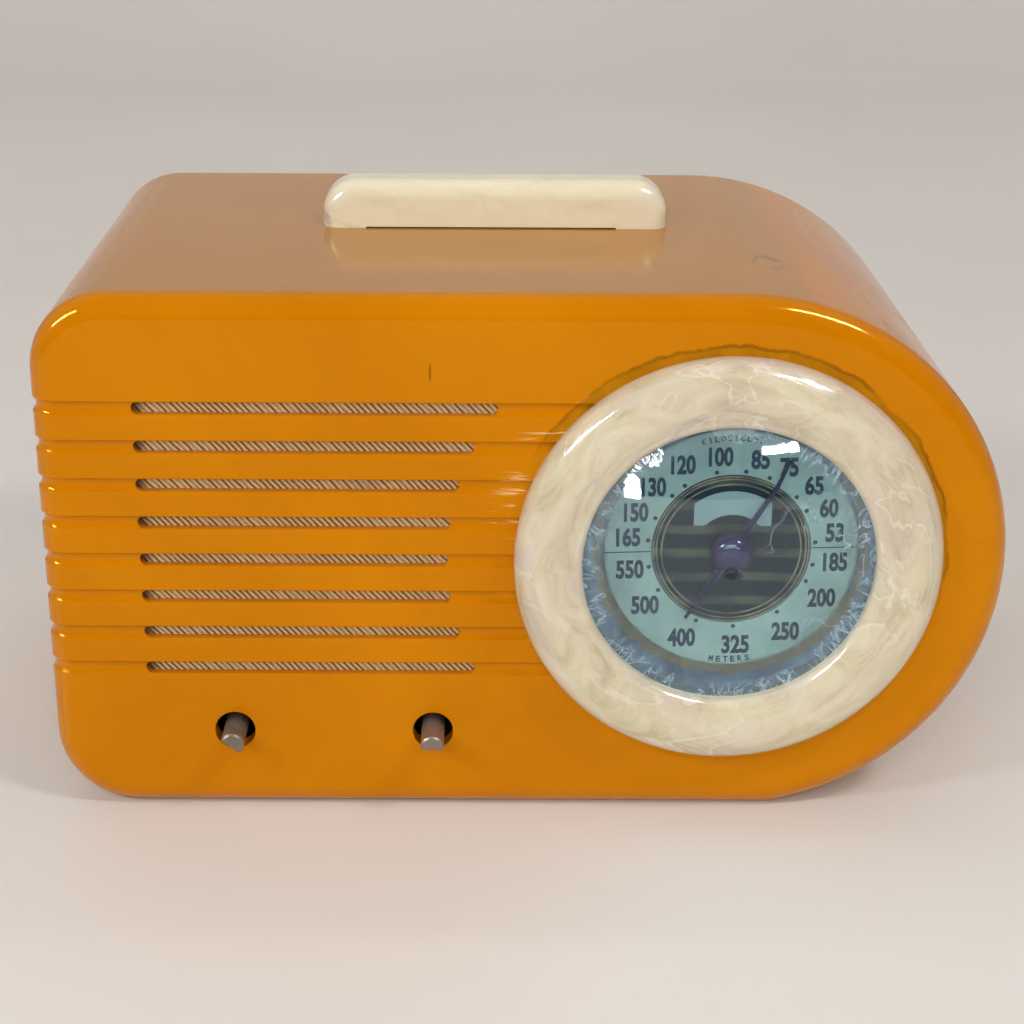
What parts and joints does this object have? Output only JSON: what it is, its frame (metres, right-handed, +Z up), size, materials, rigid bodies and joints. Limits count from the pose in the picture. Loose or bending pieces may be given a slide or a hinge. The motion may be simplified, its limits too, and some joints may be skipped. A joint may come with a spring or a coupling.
{
  "type": "table radio",
  "caption": "Table radio in a cast resin cabinet with one round end, slotted grille, round dial behind a ring bezel, bar handle, bare control shafts, removable back and a full chassis.",
  "frame": {"origin": "bottom centre of the overall box, on the surface the radio stands on", "axes": "+X to the radio's right seen from the front, the longest way; +Y to the back; +Z up"},
  "size_m": [0.26, 0.16, 0.1614],
  "materials": {
    "cast_orange": "polished cast phenolic, deep orange",
    "cast_ivory": "polished cast phenolic, marbled ivory",
    "lens": "old clear plastic, crazed",
    "cloth": "woven grille cloth",
    "board": "pressed fibreboard",
    "chassis_steel": "plated sheet steel",
    "steel": "plated steel",
    "aluminium": "drawn aluminium",
    "brass": "brass",
    "paper": "paper and felt",
    "scale": "printed dial",
    "dark_plate": "dark painted plate",
    "pointer_blue": "dark blue paint",
    "rubber": "moulded rubber",
    "black_moulding": "moulded phenolic",
    "bulb_glass": "clear glass",
    "cord": "woven dial cord",
    "magnet_iron": "painted iron",
    "wax": "waxed paper"
  },
  "bodies": {
    "cabinet_body": {"back_cover": "board", "back_cover_screws": "steel", "cabinet": "cast_orange", "chassis": "chassis_steel", "chassis_bolts": "steel", "chassis_nuts": "steel", "condenser_frame": "chassis_steel", "condenser_insulators": "black_moulding", "condenser_stator": "aluminium", "control_nuts": "brass", "cord_grommet": "rubber", "dial_back_plate": "dark_plate", "dial_bezel": "cast_ivory", "dial_bracket": "chassis_steel", "dial_bracket_screws": "steel", "dial_centre": "brass", "dial_cord": "cord", "dial_lamp_bulb": "bulb_glass", "dial_lamp_socket": "chassis_steel", "dial_lens": "lens", "dial_scale": "scale", "filter_capacitor": "aluminium", "grille_cloth": "cloth", "handle": "cast_ivory", "handle_screws": "steel", "if_cans": "aluminium", "loop_antenna": "board", "power_switch": "chassis_steel", "resistors": "black_moulding", "speaker_baffle": "board", "speaker_basket": "chassis_steel", "speaker_magnet": "magnet_iron", "speaker_screws": "steel", "tag_board": "board", "transformer_coil": "wax", "transformer_core": "magnet_iron", "tube_bases": "black_moulding", "tube_bulbs": "bulb_glass", "tube_electrodes": "magnet_iron", "tube_sockets": "black_moulding", "tuning_bushing": "brass", "volume_bushing": "brass", "volume_case": "chassis_steel", "wax_capacitors": "wax"},
    "tuner_body": {"condenser_shaft": "steel", "condenser_rotor": "aluminium", "dial_drum": "aluminium", "drum_spring": "steel", "dial_cord_tails": "cord", "dial_pointer": "pointer_blue", "pointer_hub": "pointer_blue"},
    "tuning_shaft_body": {"tuning_shaft": "steel", "tuning_clips": "steel"},
    "volume_shaft_body": {"volume_shaft": "steel", "volume_wiper": "brass"},
    "cone_body": {"speaker_cone": "paper", "speaker_voice_coil": "paper", "speaker_dust_cap": "paper", "speaker_surround": "paper", "speaker_spider": "paper"}
  },
  "joints": [
    {"name": "tuner_turn", "type": "hinge", "parent": "cabinet_body", "child": "tuner_body", "pos_m": [0.0564, -0.03, 0.0744], "axis": [0, 1, 0], "range_deg": [-119, 57]},
    {"name": "tuning_shaft_turn", "type": "hinge", "parent": "cabinet_body", "child": "tuning_shaft_body", "pos_m": [-0.025, -0.06, 0.0242], "axis": [0, 1, 0], "range_deg": [-978.9, 469.4]},
    {"name": "volume_shaft_turn", "type": "hinge", "parent": "cabinet_body", "child": "volume_shaft_body", "pos_m": [-0.0797, -0.06, 0.0242], "axis": [0, 1, 0], "range_deg": [0, 300]},
    {"name": "cone_travel", "type": "slide", "parent": "cabinet_body", "child": "cone_body", "axis": [0, 1, 0], "range_m": [-0.001, 0.001], "stiffness_N_per_m": 500, "deforming": ["speaker_surround", "speaker_spider"]}
  ],
  "couplings": [
    {"joint": "tuning_shaft_turn", "follows": "tuner_turn", "ratio": 8.2177}
  ]
}
